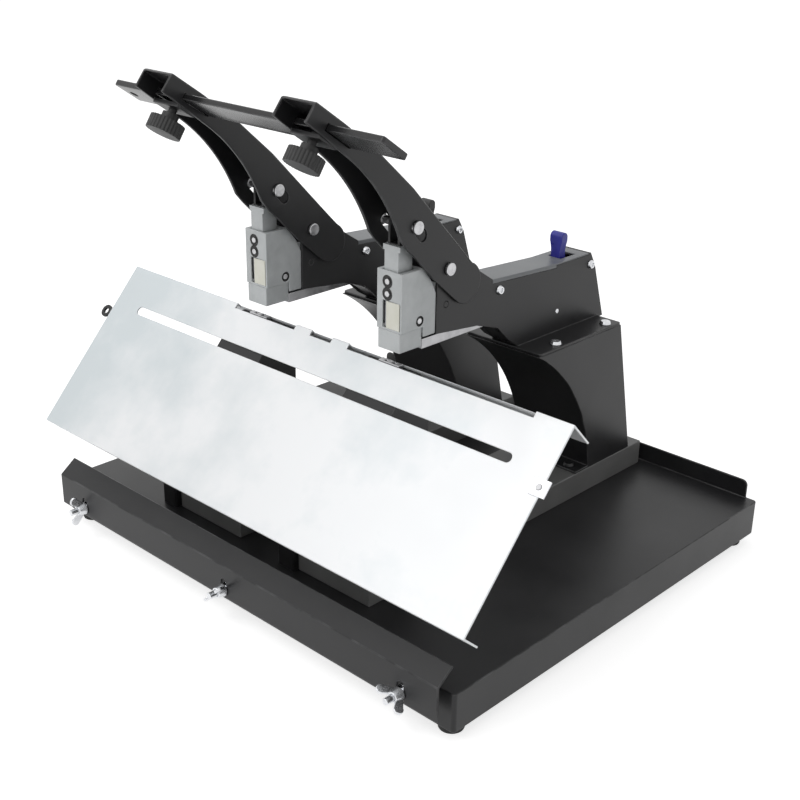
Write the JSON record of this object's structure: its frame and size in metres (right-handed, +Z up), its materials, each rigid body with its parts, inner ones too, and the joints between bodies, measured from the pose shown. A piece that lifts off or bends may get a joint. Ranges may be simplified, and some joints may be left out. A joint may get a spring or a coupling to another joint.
{
  "type": "saddle stapler",
  "caption": "Manual saddle stapler for booklets: black sheet-metal base and stands, grey staple heads above a roof-shaped zinc saddle plate, pressed together by a cross handle bar.",
  "frame": {"origin": "middle of the floor rectangle under the machine, at the bottom of the rubber feet", "axes": "+X along the saddle to the right, +Y to the back, +Z up"},
  "size_m": [0.482, 0.406, 0.3957],
  "materials": {
    "black_coat": "satin black powder coat",
    "zinc_sheet": "bright zinc plating, faintly clouded",
    "zinc_fastener": "bright zinc plating",
    "grey_casting": "grey die casting, matt",
    "grey_plate": "grey satin plate, bare",
    "bare_steel": "bare steel",
    "rubber": "black rubber",
    "blue_plastic": "blue moulded plastic",
    "cream_plastic": "cream moulded plastic",
    "black_plastic": "black moulded plastic"
  },
  "bodies": {
    "frame": {"base_tray": "black_coat", "rubber_feet": "rubber", "foot_screws": "zinc_fastener", "strip_studs": "zinc_fastener", "strip_sleeves": "zinc_fastener", "saddle_plate": "zinc_sheet", "saddle_screws": "zinc_fastener", "end_eyelet": "black_coat", "end_clip": "zinc_fastener", "platform_left": "black_coat", "platform_right": "black_coat", "platform_screws": "zinc_fastener", "clamp_blocks": "black_coat", "stand_left": "black_coat", "stand_right": "black_coat", "stand_bolts": "zinc_fastener", "holder_left": "black_coat", "holder_right": "black_coat", "holder_screws": "zinc_fastener", "anvil_left": "bare_steel", "anvil_right": "bare_steel", "body_left": "black_coat", "body_right": "black_coat", "body_screws": "zinc_fastener", "cover_left": "grey_plate", "cover_right": "grey_plate", "rail_left": "bare_steel", "rail_right": "bare_steel", "staples_left": "bare_steel", "staples_right": "bare_steel", "pusher_spring_left": "bare_steel", "pusher_spring_right": "bare_steel", "head_left": "grey_casting", "head_right": "grey_casting", "nose_left": "grey_casting", "nose_right": "grey_casting", "front_plates": "cream_plastic", "head_screws": "zinc_fastener", "return_spring_left": "bare_steel", "return_spring_right": "bare_steel", "pivot_pins": "zinc_fastener"},
    "handle": {"lever_left": "black_coat", "lever_right": "black_coat", "handle_bar": "black_coat"},
    "plunger_left_body": {"plunger_left": "grey_casting", "blade_left": "bare_steel", "plunger_pin_left": "zinc_fastener"},
    "plunger_right_body": {"plunger_right": "grey_casting", "blade_right": "bare_steel", "plunger_pin_right": "zinc_fastener"},
    "knob_left_body": {"knob_left": "black_plastic"},
    "knob_right_body": {"knob_right": "black_plastic"},
    "wing_nut_left_body": {"wing_nut_left": "zinc_fastener"},
    "wing_nut_middle_body": {"wing_nut_middle": "zinc_fastener"},
    "wing_nut_right_body": {"wing_nut_right": "zinc_fastener"},
    "strip_body": {"front_strip": "black_coat"},
    "latch_left_body": {"latch_left": "black_plastic"},
    "latch_right_body": {"latch_right": "blue_plastic"},
    "pusher_left_body": {"pusher_left": "black_plastic"},
    "pusher_right_body": {"pusher_right": "black_plastic"}
  },
  "joints": [
    {"name": "lever_press", "type": "hinge", "parent": "frame", "child": "handle", "pos_m": [0.003, -0.0444, 0.2639], "axis": [1, 0, 0], "range_deg": [0, 16], "stiffness_Nm_per_rad": 3, "springref_deg": -28.65},
    {"name": "plunger_left_slide", "type": "slide", "parent": "frame", "child": "plunger_left_body", "axis": [0, 0, -1], "range_m": [0, 0.01613], "deforming": ["return_spring_left"]},
    {"name": "knob_left_turn", "type": "hinge", "parent": "handle", "child": "knob_left_body", "pos_m": [-0.068, -0.16361, 0.36063], "axis": [0, 0.5592, 0.829], "continuous": true},
    {"name": "latch_left_slide", "type": "slide", "parent": "frame", "child": "latch_left_body", "axis": [0, 1, 0], "range_m": [0, 0.01]},
    {"name": "pusher_left_slide", "type": "slide", "parent": "frame", "child": "pusher_left_body", "axis": [0, 1, 0], "range_m": [0, 0.03], "stiffness_N_per_m": 60, "springref_m": -0.03, "deforming": ["pusher_spring_left"]},
    {"name": "plunger_right_slide", "type": "slide", "parent": "frame", "child": "plunger_right_body", "axis": [0, 0, -1], "range_m": [0, 0.01613], "deforming": ["return_spring_right"]},
    {"name": "knob_right_turn", "type": "hinge", "parent": "handle", "child": "knob_right_body", "pos_m": [0.074, -0.16361, 0.36063], "axis": [0, 0.5592, 0.829], "continuous": true},
    {"name": "latch_right_slide", "type": "slide", "parent": "frame", "child": "latch_right_body", "axis": [0, 1, 0], "range_m": [0, 0.01]},
    {"name": "pusher_right_slide", "type": "slide", "parent": "frame", "child": "pusher_right_body", "axis": [0, 1, 0], "range_m": [0, 0.03], "stiffness_N_per_m": 60, "springref_m": -0.03, "deforming": ["pusher_spring_right"]},
    {"name": "wing_nut_left_turn", "type": "hinge", "parent": "frame", "child": "wing_nut_left_body", "pos_m": [-0.179, -0.193, 0.026], "axis": [0, 1, 0], "continuous": true},
    {"name": "wing_nut_middle_turn", "type": "hinge", "parent": "frame", "child": "wing_nut_middle_body", "pos_m": [0.003, -0.193, 0.026], "axis": [0, 1, 0], "continuous": true},
    {"name": "wing_nut_right_turn", "type": "hinge", "parent": "frame", "child": "wing_nut_right_body", "pos_m": [0.185, -0.193, 0.026], "axis": [0, 1, 0], "continuous": true},
    {"name": "strip_lower", "type": "slide", "parent": "frame", "child": "strip_body", "axis": [0, 0, 1], "range_m": [-0.006, 0]}
  ],
  "couplings": [
    {"joint": "plunger_left_slide", "follows": "lever_press", "m_per_rad": 0.0577},
    {"joint": "plunger_right_slide", "follows": "lever_press", "m_per_rad": 0.0577}
  ]
}
